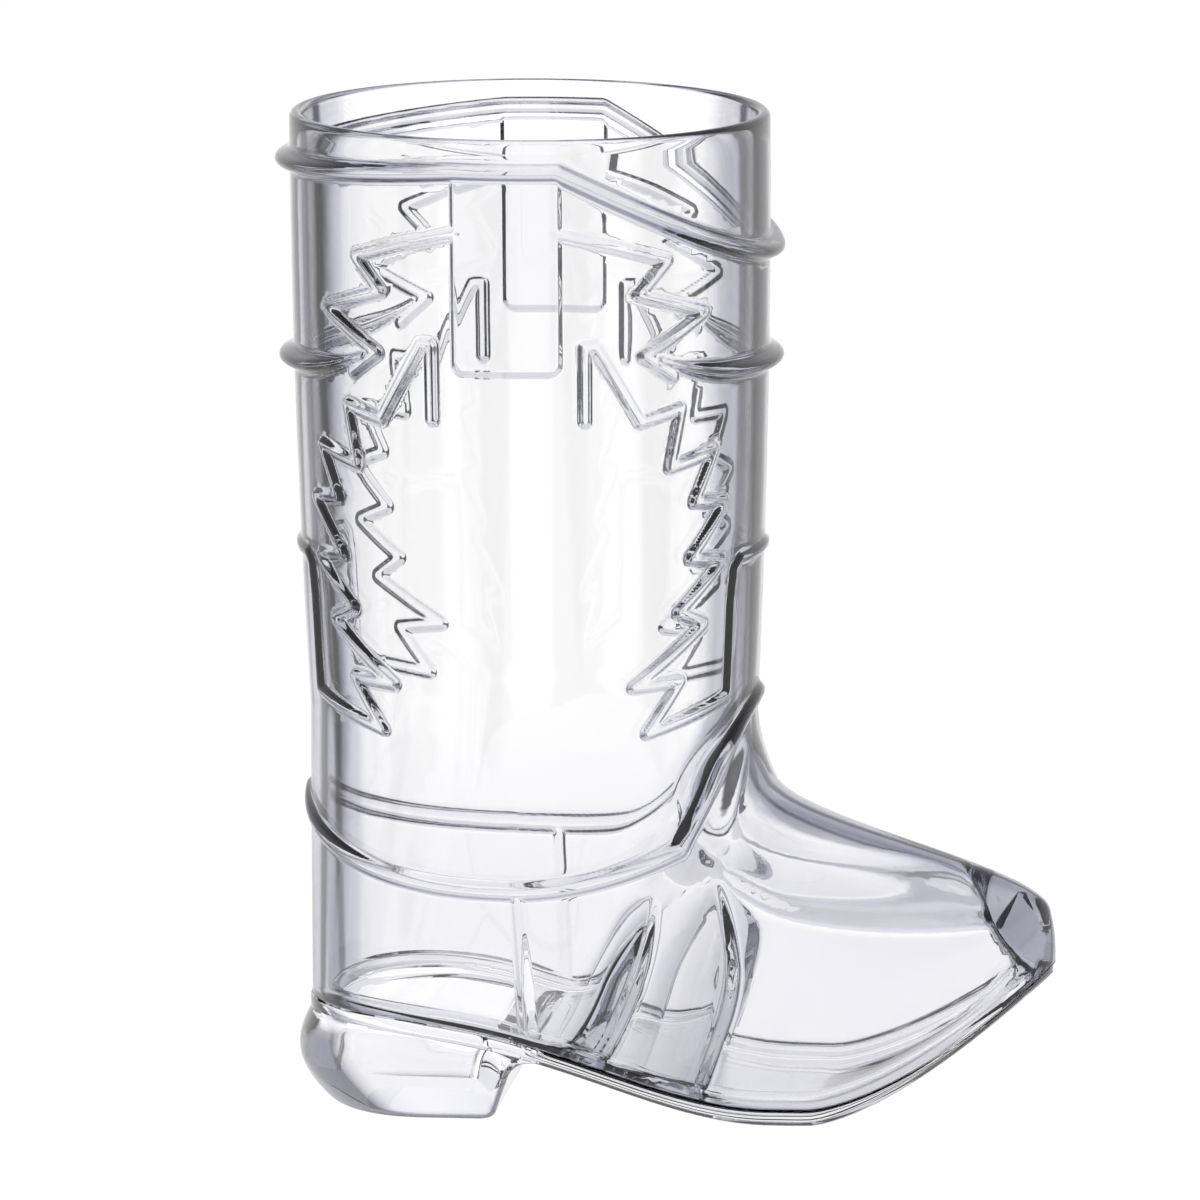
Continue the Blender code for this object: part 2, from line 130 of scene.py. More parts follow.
# %% [markdown]
# Seen from the side, the joint between upper and sole is high at the heel, low under the ball of the foot
# and turned up at the toe. Above it the skin climbs to the ankle: the quarters sweep up round the heel, and
# the vamp runs flat over the toes and then turns up at the throat. One formula gives the whole skin for an
# angle round the cup and a height, so every later step can ask where a point of the boot is.

# %% The skin of the upper
CUP_HEIGHT = 155 * MM
RIM_RADIUS = 37.2 * MM
ANKLE_HEIGHT = 62 * MM
ANKLE_RADIUS = 34.7 * MM
SHAFT_LEAN = 0.7 * MM
SOLE_THICKNESS = 3.0 * MM
SEAM_GAP = 0.3 * MM
BALL_HEIGHT = SOLE_THICKNESS + SEAM_GAP
SEAT_HEIGHT = 17.2 * MM
TOE_LIFT = 19.2 * MM
BALL_FLAT = 6 * MM
SHANK_STEEPNESS = 1.42
TOE_SPRING = 1.5
TOE_CAP_HEIGHT = 30.8 * MM
THROAT_HEIGHT = 51 * MM
THROAT_EASE = 0.22
QUARTER_SWEEP = 1.6
VAMP_PINCH = 0.16
PINCH_EASE = 0.06


def seam_height(x):
    """Height of the joint between upper and outsole."""
    if x < BALL_REACH:
        share = (x + SEAT_BACK) / (BALL_REACH - BALL_FLAT / 2 + SEAT_BACK)
        wave = math.cos(math.pi * min(max(share, 0), 1) ** SHANK_STEEPNESS)
        return mix(BALL_HEIGHT, SEAT_HEIGHT, (1 + wave) / 2)
    share = (x - BALL_REACH - BALL_FLAT / 2) / (TOE_REACH - BALL_REACH - BALL_FLAT / 2)
    return BALL_HEIGHT + TOE_LIFT * power(share, TOE_SPRING)


def shaft_skin(angle, height):
    """A point of the shaft, which flares towards the rim and leans back a little."""
    share = (height - ANKLE_HEIGHT) / (CUP_HEIGHT - ANKLE_HEIGHT)
    radius = mix(ANKLE_RADIUS, RIM_RADIUS, 1 - (1 - share) ** 2)
    return Vector((radius * math.cos(angle) - SHAFT_LEAN * share, radius * math.sin(angle), height))


def foot_skin(angle, climb):
    """A point of the foot, where climb runs from 0 at the seam to 1 at the ankle."""
    foot_x, foot_y = outline(angle)
    toe_seam = seam_height(TOE_REACH)
    toe_cap = (TOE_CAP_HEIGHT - toe_seam) / (ANKLE_HEIGHT - toe_seam)
    throat = (THROAT_HEIGHT - toe_seam) / (ANKLE_HEIGHT - toe_seam)
    swept = 1 - (1 - climb) ** QUARTER_SWEEP
    ridge = mix(smooth(toe_cap, throat, climb), smooth(toe_cap, 1, climb), THROAT_EASE)
    slide = mix(swept, ridge, power(math.cos(angle), 2))
    forwards = max(math.cos(angle), 0)
    pinch = forwards ** 2 / (forwards + PINCH_EASE) * math.sin(angle) * 2 * math.sin(math.pi * climb) ** 2
    x = mix(foot_x, ANKLE_RADIUS * math.cos(angle), slide)
    y = mix(foot_y, ANKLE_RADIUS * math.sin(angle), slide) * (1 - VAMP_PINCH * pinch)
    return Vector((x, y, mix(seam_height(foot_x), ANKLE_HEIGHT, climb)))


def skin(angle, height):
    """A point of the upper's outside at a height, with the angle in the half from toe to back."""
    if height >= ANKLE_HEIGHT:
        return shaft_skin(angle, height)
    bottom = seam_height(outline(angle)[0])
    return foot_skin(angle, (height - bottom) / (ANKLE_HEIGHT - bottom))


print("skin at the throat, mm:", [round(value / MM, 1) for value in skin(0, THROAT_HEIGHT)])

# %% [markdown]
# The raised lines are what makes this cup a western boot: a thick bead round the collar, a thick bead below
# it in front and behind, a zigzag of flames down each side, a piping round the ankle and a seam up each
# side of the foot. On the real mould they are grooves cut along a drawn line. Here the flames are drawn on
# the unrolled skin, as degrees from the middle of the cup's side and a share of the height between two other
# lines, and are then laid on the skin as a row of closely spaced points. The cup is the same on both sides,
# and nearly the same in front and behind, so a quarter of the stitching is enough.

# %% Draw the flames on the skin
POINT_SPACING = 0.2 * MM
COLLAR_DROP_SIDE = 4.8 * MM
FLAME_BEAD_DROP = 38 * MM
COLLAR_FLAMES = (
    (12, 0.71), (26, 0.645), (40.2, 0.565), (32.4, 0.415), (51.8, 0.305), (33.7, 0.125), (42, 0.02),
)
SIDE_FLAMES = (
    (18.7, 0.9), (18.7, 1.11), (21.2, 1.11), (32.8, 0.89), (44.4, 0.92), (41.2, 0.755), (55.8, 0.79),
    (49, 0.65), (60.5, 0.635), (47.9, 0.49), (59.6, 0.47), (44.3, 0.34), (53.1, 0.3), (31.5, 0.14),
    (45.5, 0.145), (35.6, 0.005), (64, 0.08), (64.5, 0.35), (65.6, 0.435), (68.5, 0.46), (90, 0.47),
)


def lay_on_skin(route):
    """Closely spaced points of the skin along a route of (angle, height) corners."""
    points = [skin(*route[0])]
    for start, end in zip(route, route[1:]):
        count = max(math.ceil((skin(*end) - skin(*start)).length / POINT_SPACING), 1)
        for step in range(1, count + 1):
            share = step / count
            points.append(skin(mix(start[0], end[0], share), mix(start[1], end[1], share)))
    return points


def quarter_lines(drawing, low, high, end):
    """A drawing of one quarter, laid on the quarter towards the toe (end 1) or the back (end -1)."""
    corners = [(QUARTER - end * math.radians(turn), mix(low, high, share)) for turn, share in drawing]
    return lay_on_skin(corners)


bead_line = CUP_HEIGHT - FLAME_BEAD_DROP
stitching = []
for end in (1, -1):
    stitching += quarter_lines(COLLAR_FLAMES, bead_line, CUP_HEIGHT - COLLAR_DROP_SIDE, end)
    stitching += quarter_lines(SIDE_FLAMES, ANKLE_HEIGHT, bead_line, end)
print("points along the flames:", len(stitching))

# %% [markdown]
# The thick beads and the ankle piping are smooth curves, so a formula draws them. The collar's line is level
# over the sides, dips a little behind and dips far in front, as the scallop of a real boot does. The ankle
# piping rises behind, runs low at the sides to a cusp, and from there climbs steeply to the throat. The bead
# below the collar gets thinner towards its ends, and runs out between the flames.

# %% Draw the beads on the skin
CURVE_STEPS = 240
COLLAR_DROP_BACK = 7.4 * MM
COLLAR_DROP_FRONT = 21 * MM
COLLAR_LEVEL_ANGLE = math.radians(12)
FLAME_BEAD_RISE = 3.5 * MM
FLAME_BEAD_HOOK = 4
FLAME_BEAD_SPAN = math.radians(52)
FLAME_BEAD_TAPER = 0.6
FLAME_BEAD_TIP = 0.4
ANKLE_BEAD_BACK = 48.6 * MM
ANKLE_BEAD_SIDE = 38 * MM
ANKLE_BEAD_CUSP = 43.5 * MM
ANKLE_BEAD_THROAT = 64.5 * MM
CUSP_ANGLE = math.radians(50)
half_turn = [math.pi * step / CURVE_STEPS for step in range(CURVE_STEPS + 1)]


def collar_line(angle):
    dip = COLLAR_DROP_FRONT if math.cos(angle) > 0 else COLLAR_DROP_BACK
    past_level = math.asin(abs(math.cos(angle))) - COLLAR_LEVEL_ANGLE
    share = math.sin(QUARTER * max(past_level / (QUARTER - COLLAR_LEVEL_ANGLE), 0))
    return CUP_HEIGHT - mix(COLLAR_DROP_SIDE, dip, share)


def flame_bead_line(share):
    return bead_line + FLAME_BEAD_RISE * share ** FLAME_BEAD_HOOK


def flame_bead_size(angle):
    """1 in front and behind, and less towards the ends, where the bead runs out between the flames."""
    share = min(angle, math.pi - angle) / FLAME_BEAD_SPAN
    return mix(1, FLAME_BEAD_TIP, smooth(FLAME_BEAD_TAPER, 1, share))


def ankle_line(angle):
    if angle < CUSP_ANGLE:
        return mix(ANKLE_BEAD_CUSP, ANKLE_BEAD_THROAT, math.cos(QUARTER * angle / CUSP_ANGLE))
    if angle < QUARTER:
        share = (angle - CUSP_ANGLE) / (QUARTER - CUSP_ANGLE)
        return mix(ANKLE_BEAD_CUSP, ANKLE_BEAD_SIDE, smooth(-1, 1, share) * 2 - 1)
    return mix(ANKLE_BEAD_SIDE, ANKLE_BEAD_BACK, 1 - math.sin(angle))


shares = [step / CURVE_STEPS for step in range(CURVE_STEPS + 1)]
collar_bead = lay_on_skin([(angle, collar_line(angle)) for angle in half_turn])
flame_bead = lay_on_skin([(share * FLAME_BEAD_SPAN, flame_bead_line(share)) for share in shares])
flame_bead += lay_on_skin([(math.pi - share * FLAME_BEAD_SPAN, flame_bead_line(share)) for share in shares])
ankle_piping = lay_on_skin([(angle, ankle_line(angle)) for angle in half_turn])
side_seam = lay_on_skin([(QUARTER, seam_height(outline(QUARTER)[0])), (QUARTER, ankle_line(QUARTER))])
print("points along the beads:", len(collar_bead), len(flame_bead), len(ankle_piping), len(side_seam))

# %% [markdown]
# A search tree answers how far a point of the skin is from the nearest line. From that distance comes how
# far the skin is raised there: the beads are round, and the stitch ribs have a narrow flat top between two
# sloping flanks, which is why they show as two fine lines. The pull strap is a raised flat panel with round
# lower corners that hangs from the collar bead. Its edge and the side seam's are steeper.

# %% How far the skin is raised
RIB_HALF_WIDTH = 1.2 * MM
RIB_HEIGHT = 0.7 * MM
RIB_FLANK = 0.8 * MM
STEEP_FLANK = 0.45 * MM
FILLET_START = 0.86
BEAD_FOOT = 1.4
COLLAR_BEAD_HALF_WIDTH = 1.35 * MM
COLLAR_BEAD_HEIGHT = 2.3 * MM
PIPING_HALF_WIDTH = 1.35 * MM
PIPING_HEIGHT = 1.0 * MM
SIDE_SEAM_HALF_WIDTH = 1.0 * MM
SIDE_SEAM_HEIGHT = 0.8 * MM
STRAP_HALF_ANGLE = math.radians(13.2)
STRAP_BOTTOM = CUP_HEIGHT - 36.4 * MM
STRAP_CORNER = 1.9 * MM
STRAP_HEIGHT = 0.6 * MM


def search_tree(points):
    tree = KDTree(len(points))
    for index, point in enumerate(points):
        tree.insert(point, index)
    tree.balance()
    return tree


def round_bead(distance, half_width, height):
    """Half an ellipse, eased into the skin by a hollow curve at its foot."""
    share = abs(distance) / half_width
    if share < FILLET_START:
        return height * math.sqrt(1 - share ** 2)
    rise = math.sqrt(1 - FILLET_START ** 2)
    length = 2 * rise ** 2 / FILLET_START
    return height * rise * power(1 - (share - FILLET_START) / length, 2)


def flat_rib(distance, half_width, height, flank):
    """A flat top that falls to the skin over the width of a flank."""
    return height * (1 - smooth(half_width - flank, half_width, distance))


def strap_distance(angle, height):
    """Distance outside the pull strap's edge on the unrolled shaft, negative within the strap."""
    half_width = STRAP_HALF_ANGLE * RIM_RADIUS
    across = abs(angle - QUARTER) * RIM_RADIUS - half_width + STRAP_CORNER
    below = max(STRAP_BOTTOM + STRAP_CORNER - height, height - collar_line(angle) + STRAP_CORNER)
    corner = math.hypot(max(across, 0), max(below, 0))
    return corner + min(max(across, below), 0) - STRAP_CORNER


stitch_tree = search_tree(stitching)
collar_tree = search_tree(collar_bead)
flame_bead_tree = search_tree(flame_bead)
piping_tree = search_tree(ankle_piping)
side_seam_tree = search_tree(side_seam)


def raised(angle, point):
    """How far the skin stands out at a point."""
    size = flame_bead_size(angle)
    flame_bead_distance = flame_bead_tree.find(point)[2]
    heights = [
        flat_rib(stitch_tree.find(point)[2], RIB_HALF_WIDTH, RIB_HEIGHT, RIB_FLANK),
        flat_rib(side_seam_tree.find(point)[2], SIDE_SEAM_HALF_WIDTH, SIDE_SEAM_HEIGHT, STEEP_FLANK),
        round_bead(collar_tree.find(point)[2], COLLAR_BEAD_HALF_WIDTH, COLLAR_BEAD_HEIGHT),
        round_bead(flame_bead_distance, COLLAR_BEAD_HALF_WIDTH * size, COLLAR_BEAD_HEIGHT * size),
        round_bead(piping_tree.find(point)[2], PIPING_HALF_WIDTH, PIPING_HEIGHT),
    ]
    if point.z > ANKLE_HEIGHT:
        from_edge = strap_distance(angle, point.z) + STEEP_FLANK
        heights.append(flat_rib(from_edge, STEEP_FLANK, STRAP_HEIGHT, STEEP_FLANK))
    return max(heights)


def near_a_line(angle, point, margin):
    """Whether a point lies on the foot of a raised line, or within a margin of it."""
    beads = (
        (collar_tree, COLLAR_BEAD_HALF_WIDTH), (piping_tree, PIPING_HALF_WIDTH),
        (flame_bead_tree, COLLAR_BEAD_HALF_WIDTH * flame_bead_size(angle)),
    )
    ribs = ((stitch_tree, RIB_HALF_WIDTH), (side_seam_tree, SIDE_SEAM_HALF_WIDTH))
    if point.z > ANKLE_HEIGHT and abs(strap_distance(angle, point.z)) < 2 * margin:
        return True
    if any(tree.find(point)[2] < half_width * BEAD_FOOT + margin for tree, half_width in beads):
        return True
    return any(tree.find(point)[2] < half_width + margin for tree, half_width in ribs)


print("raised on the collar bead, mm:", round(raised(0, skin(0, collar_line(0))) / MM, 2))

# %% [markdown]
# The upper is one wall all the way from the outside of the seam, over the rim, and down the inside. So it
# starts as one flat grid: across it runs the angle from toe to back, and up it run the rows of that wall.
# Only half of the cup is made, because a mirror makes the rest. Each band of rows has its own rule for where
# it lies on the real wall.

# %% A flat grid for half of the upper
WALL = 2.2 * MM
LIP = WALL / 2
WELT_TOP = 2.2 * MM
COLUMNS = 100
WELT_ROWS = 8
FOOT_ROWS = 52
SHAFT_ROWS = 76
LIP_ROWS = 8
INNER_SHAFT_ROWS = 24
INNER_FOOT_ROWS = 48
FOOT_START = WELT_ROWS
SHAFT_START = FOOT_START + FOOT_ROWS
LIP_START = SHAFT_START + SHAFT_ROWS
INNER_START = LIP_START + LIP_ROWS
INNER_FOOT_START = INNER_START + INNER_SHAFT_ROWS
ROWS = INNER_FOOT_START + INNER_FOOT_ROWS


def half_grid(columns, rows, width):
    """A flat grid from 0 to width across and from 0 to its number of rows upwards."""
    bm = bmesh.new()
    bmesh.ops.create_grid(bm, x_segments=columns, y_segments=rows, size=0.5)
    bmesh.ops.translate(bm, vec=(0.5, 0.5, 0), verts=bm.verts)
    bmesh.ops.scale(bm, vec=(width, rows, 1), verts=bm.verts)
    return bm


def wall_row(angle, row):
    """The skin under a row of the grid, as (climb in the foot, None) or (None, height on the shaft)."""
    bottom = seam_height(outline(angle)[0])
    welt_climb = WELT_TOP / (ANKLE_HEIGHT - bottom)
    if row <= FOOT_START:
        return mix(0, welt_climb, row / WELT_ROWS), None
    if row < SHAFT_START:
        return mix(welt_climb, 1, (row - FOOT_START) / FOOT_ROWS), None
    if row <= LIP_START:
        return None, mix(ANKLE_HEIGHT, CUP_HEIGHT - LIP, (row - SHAFT_START) / SHAFT_ROWS)
    if row <= INNER_START:
        return None, CUP_HEIGHT - LIP
    if row <= INNER_FOOT_START:
        return None, mix(CUP_HEIGHT - LIP, ANKLE_HEIGHT, (row - INNER_START) / INNER_SHAFT_ROWS)
    return mix(1, 0, (row - INNER_FOOT_START) / INNER_FOOT_ROWS), None


def wall_skin(angle, row):
    climb, height = wall_row(angle, row)
    return foot_skin(angle, climb) if height is None else shaft_skin(angle, height)


upper = half_grid(COLUMNS, ROWS, math.pi)
print("faces in the flat grid:", len(upper.faces))

# %% [markdown]
# The inside of a moulded cup is the shape of its cores, and cores have to come out again. The shaft's core
# is drawn upwards and the foot's core downwards, so the inside doesn't follow every bend of the outside. In
# front of the ankle the wall thickens slowly and then drops at a crease, twice. It is a little thicker too
# behind the throat and along the vamp, and the core of the toe ends short of the tip and leaves it solid.
# Thick places take up more light and bend it hard, so they show as grey facets with dark edges. The columns
# of the grid lean as the creases do, so that each crease runs along a column and stays sharp.

# %% How the inside departs from the skin
CREASE_LEAN = math.radians(36)
CREASE_TOP = 0.62
LEANING_FROM = (15, 60)
LEANING_TO = (90, 150)
CREASES = ((65, 0.64, 17, 6.5 * MM), (80, 0.6, 9, 6 * MM))
CREASE_EDGE = math.radians(1.8)
EDGE_SPLIT = 3
CREASE_FADE = 0.35
THROAT_CREASE = (52, 0.6, 14, 1)
THROAT_THICKENING = 2.2 * MM
THROAT_FADE = (0.5, 0.7, 0.85, 1)
THROAT_BEHIND = math.radians(24)
THROAT_EDGE = math.radians(14)
SHOULDER_LINE = (0.37, 0.56)
SHOULDER_TURN = (10, 36)
SHOULDER_BEND = 1.5
SHOULDER_FADE = (4, 14, 34, 44)
SHOULDER_HALF_WIDTH = 0.13
SHOULDER_THICKENING = 1.6 * MM
CORE_END = 77 * MM
CORE_END_LEAN = 0.7
CORE_END_HEIGHT = 22 * MM
CORE_END_ROUND = 1.2 * MM


def leaning(angle, climb):
    """The angle on the skin of a column of the inside, where the columns lean as the creases do."""
    degrees = math.degrees(angle)
    lean = CREASE_LEAN * climb * (1 - smooth(CREASE_TOP, 1, climb))
    return angle - lean * smooth(*LEANING_FROM, degrees) * (1 - smooth(*LEANING_TO, degrees))


def edge_share(behind, width):
    """0 before a crease's line and 1 behind it, over a width that lies mostly before the line."""
    return smooth(-width, width / EDGE_SPLIT, behind)


def crease_thickness(angle, climb):
    """How much thicker the wall gets towards the two creases, each of which lies along a column."""
    thickest = 0
    for column, top, width, height in CREASES:
        behind = angle - math.radians(column)
        slope = power(1 - behind / math.radians(width), 2) * edge_share(behind, CREASE_EDGE)
        thickest = max(thickest, height * slope * (1 - smooth(top - CREASE_FADE, top, climb)))
    return thickest


def throat_thickness(angle, climb):
    """How much thicker the wall is behind the piping that climbs to the throat."""
    low_angle, low_climb, high_angle, high_climb = THROAT_CREASE
    share = (climb - low_climb) / (high_climb - low_climb)
    behind = angle - math.radians(mix(low_angle, high_angle, share))
    fade = smooth(*THROAT_FADE[:2], climb) * (1 - smooth(*THROAT_FADE[2:], climb))
    slope = power(1 - behind / THROAT_BEHIND, 2) * edge_share(behind, THROAT_EDGE)
    return THROAT_THICKENING * fade * slope


def shoulder_thickness(angle, climb):
    """How much thicker the wall is along the core's shoulder, which runs along the vamp."""
    degrees = math.degrees(angle)
    low_turn, high_turn = SHOULDER_TURN
    share = (degrees - low_turn) / (high_turn - low_turn)
    line = mix(*SHOULDER_LINE, power(share, SHOULDER_BEND))
    fade = smooth(*SHOULDER_FADE[:2], degrees) * (1 - smooth(*SHOULDER_FADE[2:], degrees))
    return SHOULDER_THICKENING * fade * power(1 - ((climb - line) / SHOULDER_HALF_WIDTH) ** 2, 2)


def near_a_crease(angle, climb, reach):
    return any(abs(angle - math.radians(crease[0])) < reach and climb < crease[1] for crease in CREASES)


def within_core(point):
    """A point of the inside, held back where the core of the toe ends."""
    end = CORE_END - CORE_END_LEAN * (point.z - CORE_END_HEIGHT)
    past = min(max(point.x - end + CORE_END_ROUND, 0), 2 * CORE_END_ROUND)
    point.x = min(point.x, end + CORE_END_ROUND) - past ** 2 / (4 * CORE_END_ROUND)
    return point


first_crease = math.radians(CREASES[0][0])
print("wall at the first crease, mm:", round((WALL + crease_thickness(first_crease, 0)) / MM, 2))

# %% [markdown]
# A rib is about two millimetres wide, and the grid's cells are about one. The cells near a line or a crease
# are cut into nine, so that a rib's flank has several faces, and the plain skin keeps its larger ones.

# %% Finer cells along the lines
LINE_MARGIN = 0.6 * MM
CREASE_REACH = math.radians(3)
FINE_CUTS = 2
fine_edges = set()
for face in upper.faces:
    angle, row, _ = face.calc_center_median()
    if WELT_ROWS < row < LIP_START and near_a_line(angle, wall_skin(angle, row), LINE_MARGIN):
        fine_edges.update(face.edges)
    if row > INNER_FOOT_START and near_a_crease(angle, wall_row(angle, row)[0], CREASE_REACH):
        fine_edges.update(face.edges)
bmesh.ops.subdivide_edges(upper, edges=list(fine_edges), cuts=FINE_CUTS, use_grid_fill=True)
print("faces after the finer cells:", len(upper.faces))

# %% [markdown]
# Now the flat grid is laid on the boot. A row on the outside is raised by the lines and by the welt, which
# is a half-round bead along the seam. The welt fades out behind the heel, and at the tip of the toe it swells
# up into a rounded nose. A row on the inside lies one wall thickness below the skin, and the rows of the lip
# run over a half circle between the two.

# %% Lay the grid on the boot
WELT_BEAD_RADIUS = 1.0 * MM
WELT_BEAD_RAISE = 0.75 * MM
WELT_FADE_START = math.radians(125)
WELT_FADE_END = math.radians(165)
TOE_SWELLING = 7 * MM
TOE_SWELLING_END = math.radians(24)
SLOPE_STEP = 0.004
MIDDLE_STEP = 0.005


def welt_share(angle):
    """1 along the foot, and 0 behind the heel, where the welt has faded out."""
    return 1 - smooth(WELT_FADE_START, WELT_FADE_END, angle)


def outwards(angle, climb):
    """The direction straight out of the foot's skin."""
    low_angle = max(angle - SLOPE_STEP, SLOPE_STEP)
    high_angle = min(angle + SLOPE_STEP, math.pi - SLOPE_STEP)
    low_climb = max(climb - SLOPE_STEP, 0)
    high_climb = min(climb + SLOPE_STEP, 1)
    along = foot_skin(high_angle, climb) - foot_skin(low_angle, climb)
    upwards = foot_skin(angle, high_climb) - foot_skin(angle, low_climb)
    if angle < SLOPE_STEP or angle > math.pi - SLOPE_STEP:
        along = Vector((0, math.cos(angle), 0))
    return along.cross(upwards).normalized()


def wall_point(angle, row):
    """A point of the finished wall."""
    climb, height = wall_row(angle, row)
    radial = Vector((math.cos(angle), math.sin(angle), 0))
    if LIP_START < row < INNER_START:
        turn = math.pi * (row - LIP_START) / LIP_ROWS
        inwards = radial * LIP * (math.cos(turn) - 1)
        return shaft_skin(angle, height) + inwards + Vector((0, 0, LIP * math.sin(turn)))
    if row > INNER_FOOT_START:
        turned = leaning(angle, climb)
        folded = max(crease_thickness(angle, climb), throat_thickness(turned, climb))
        thickness = WALL + folded + shoulder_thickness(turned, climb)
        return within_core(foot_skin(turned, climb) - outwards(turned, climb) * thickness)
    point = wall_skin(angle, row)
    out = radial if height is not None else outwards(angle, climb)
    if row >= INNER_START:
        return point - out * WALL
    lift = raised(angle, point)
    if climb is not None:
        from_bead = point.z - seam_height(outline(angle)[0]) - WELT_BEAD_RAISE
        reach = WELT_BEAD_RADIUS
        if from_bead > 0:
            reach = mix(TOE_SWELLING, WELT_BEAD_RADIUS, smooth(0, TOE_SWELLING_END, angle))
        lift = max(lift, round_bead(from_bead, reach, WELT_BEAD_RADIUS) * welt_share(angle))
    return point + out * lift


for vert in upper.verts:
    angle, row, _ = vert.co
    vert.co = wall_point(angle, row)
    if angle < MIDDLE_STEP or angle > math.pi - MIDDLE_STEP:
        vert.co.y = 0
print("highest point, mm:", round(max(vert.co.z for vert in upper.verts) / MM, 2))

# %% [markdown]
# A mirror makes the other half, and the two are welded where they meet. What is left open is the foot of the
# wall, a loop outside and a loop inside, and a bridge between them closes the shell.

# %% Mirror, weld and close the upper
WELD = 0.005 * MM


def finish_piece(bm, name, node):
    """A closed bmesh as an object at the origin that stands for a CAD node."""
    bmesh.ops.translate(bm, vec=ANKLE_PLACE, verts=bm.verts)
    for face in bm.faces:
        face.smooth = True
    mesh = bpy.data.meshes.new(name)
    bm.to_mesh(mesh)
    open_edges = sum(not edge.is_manifold for edge in bm.edges)
    bm.free()
    piece = bpy.data.objects.new(name, mesh)
    bpy.context.scene.collection.objects.link(piece)
    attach(piece, "root")
    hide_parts(node)
    mesh.calc_loop_triangles()
    print(name, "has", len(mesh.loop_triangles), "triangles and", open_edges, "open edges")
    return piece


bmesh.ops.mirror(upper, geom=upper.verts[:] + upper.edges[:] + upper.faces[:], axis="Y", merge_dist=WELD)
bmesh.ops.remove_doubles(upper, verts=upper.verts, dist=WELD)
bmesh.ops.bridge_loops(upper, edges=[edge for edge in upper.edges if edge.is_boundary])
bmesh.ops.recalc_face_normals(upper, faces=upper.faces)
boot_upper = finish_piece(upper, "boot_upper_skin", "boot_upper")

# %% [markdown]
# The outsole is one moulding too, and it has four forms: the plate under the foot, the block of the heel,
# the recess in the heel that the drink fills, and a low tongue that fits inside the upper. The plate is made
# as the upper was, from a flat grid for one half. Across the grid runs the angle, and up it run the plate's
# top, its rounded edge, the bevel under the edge and the bottom.

# %% The sole plate
SOLE_TOE_THICKNESS = 1.5 * MM
SOLE_EDGE_RISE = 1.2 * MM
SOLE_EDGE_WIDTH = 6.5 * MM
SOLE_EDGE_BULGE = 0.4 * MM
WELT_OVERHANG = 1.0 * MM
WELT_LEAST = 0.3
SOLE_COLUMNS = 120
TOP_ROWS = 6
EDGE_ROWS = 8
BEVEL_ROWS = 6
BOTTOM_ROWS = 4
EDGE_START = TOP_ROWS
BEVEL_START = EDGE_START + EDGE_ROWS
BOTTOM_START = BEVEL_START + BEVEL_ROWS
SOLE_ROWS = BOTTOM_START + BOTTOM_ROWS


def lay_and_mirror(bm, rule):
    """Moves every vertex of a half grid to where a rule puts it, and adds the other half."""
    for vert in bm.verts:
        vert.co = rule(vert.co.x, vert.co.y)
        if abs(vert.co.y) < WELD:
            vert.co.y = 0
    bmesh.ops.mirror(bm, geom=bm.verts[:] + bm.edges[:] + bm.faces[:], axis="Y", merge_dist=WELD)
    bmesh.ops.remove_doubles(bm, verts=bm.verts, dist=WELD)
    bmesh.ops.dissolve_degenerate(bm, edges=bm.edges, dist=WELD)


def sole_point(angle, row):
    """A point of the sole plate's half."""
    bulge = 0
    if EDGE_START < row < BEVEL_START:
        bulge = SOLE_EDGE_BULGE * math.sin(math.pi * (row - EDGE_START) / EDGE_ROWS)
    x, y = outline(angle, (WELT_OVERHANG - SOLE_EDGE_BULGE + bulge) * max(welt_share(angle), WELT_LEAST))
    top = seam_height(x) - SEAM_GAP
    bottom = top - mix(SOLE_THICKNESS, SOLE_TOE_THICKNESS, smooth(BALL_REACH, TOE_REACH, x))
    shoulder = bottom + SOLE_EDGE_RISE
    inner = max(y - SOLE_EDGE_WIDTH, y / 2)
    if row <= EDGE_START:
        return Vector((x, y * row / TOP_ROWS, top))
    if row <= BEVEL_START:
        turn = math.pi * (row - EDGE_START) / EDGE_ROWS
        return Vector((x, y, mix(top, shoulder, (1 - math.cos(turn)) / 2)))
    if row <= BOTTOM_START:
        turn = QUARTER * (row - BEVEL_START) / BEVEL_ROWS
        return Vector((x, mix(y, inner, 1 - math.cos(turn)), mix(shoulder, bottom, math.sin(turn))))
    return Vector((x, mix(inner, 0, (row - BOTTOM_START) / BOTTOM_ROWS), bottom))


plate = half_grid(SOLE_COLUMNS, SOLE_ROWS, math.pi)
lay_and_mirror(plate, sole_point)
bmesh.ops.recalc_face_normals(plate, faces=plate.faces)
print("faces of the sole plate:", len(plate.faces))

# %% [markdown]
# The heel is a D in plan: a round back, straight sides and a flat breast with rounded corners. It swells a
# little between the table and the seat, and its breast curves forwards into the shank. The same plan, drawn
# in by a wall, gives the recess inside the heel, so one rule makes both.

# %% The heel block and its recess
HEEL_BASE_BACK = 30 * MM
HEEL_BASE_HALF_WIDTH = 20.5 * MM
HEEL_BULGE = 3.2 * MM
HEEL_ARC_SHARE = 0.62
BREAST_REACH = -4.4 * MM
BREAST_SLOPE = 4.4 * MM
BREAST_CORNER = 1.6 * MM
BREAST_CURVE = 3.8 * MM
BREAST_CURVE_START = 0.58
BREAST_CURVE_END = 0.9
HEEL_FLOOR_HEIGHT = 7.5 * MM
HEEL_EDGE_ROUND = 1.2 * MM
TONGUE_HEIGHT = 1.8 * MM
TONGUE_THICKNESS = 1.4 * MM
TONGUE_CLEARANCE = 0.5 * MM
HEEL_COLUMNS = 72
HEEL_ROWS = 24
BACK_COLUMNS = 40
SIDE_COLUMNS = 8
CORNER_COLUMNS = 12
SIDE_START = BACK_COLUMNS
